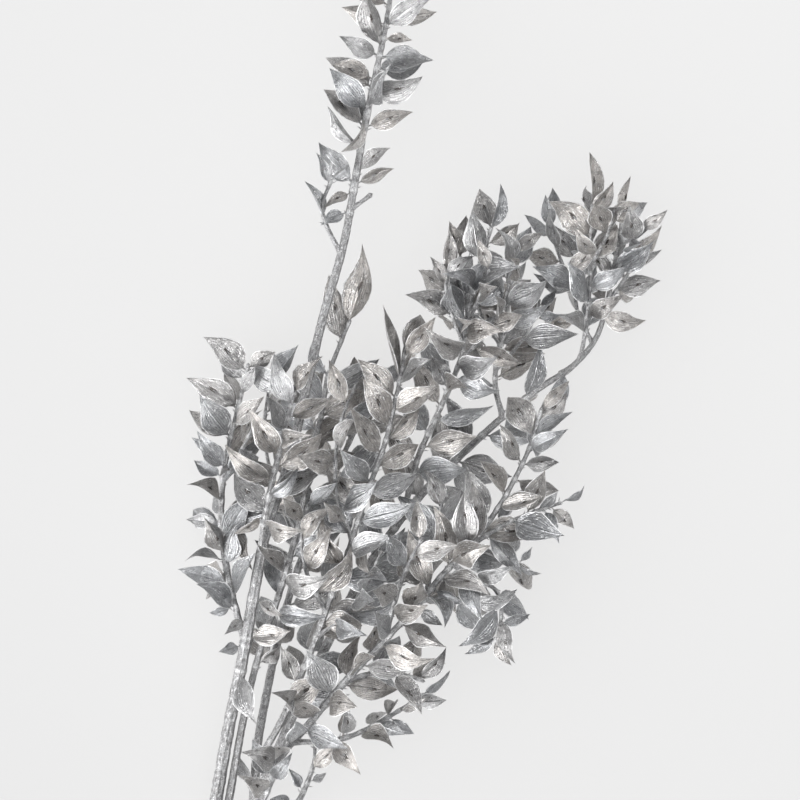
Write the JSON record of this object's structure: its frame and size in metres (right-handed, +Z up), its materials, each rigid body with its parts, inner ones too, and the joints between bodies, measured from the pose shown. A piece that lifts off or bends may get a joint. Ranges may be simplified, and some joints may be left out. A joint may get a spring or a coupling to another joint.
{
  "type": "dried ruscus stem",
  "caption": "Branched dried ruscus stem, painted silver, with stiff ribbed twigs and folded pointed cladodes, lying on its back for use as dried foliage.",
  "frame": {"origin": "centre of the small flat on the underside of the stalk, close to its cut end", "axes": "+Y along the stem from the cut end to the leader's tip, +Z up from the surface that the stem lies on, +X to the right"},
  "size_m": [0.2636, 0.6222, 0.0835],
  "materials": {
    "silver_foliage": "dried stem and leaf tissue under a thin coat of silver spray paint, with fine lengthwise veins and a soft metallic sheen"
  },
  "bodies": {
    "root": {"main_stem": "silver_foliage", "left_twig": "silver_foliage", "front_twig": "silver_foliage", "second_branch": "silver_foliage", "back_branch": "silver_foliage", "middle_branch": "silver_foliage", "front_branch": "silver_foliage", "low_right_twig": "silver_foliage", "low_twig": "silver_foliage", "right_branch": "silver_foliage", "head_branch": "silver_foliage", "inner_twig": "silver_foliage"}
  },
  "joints": []
}
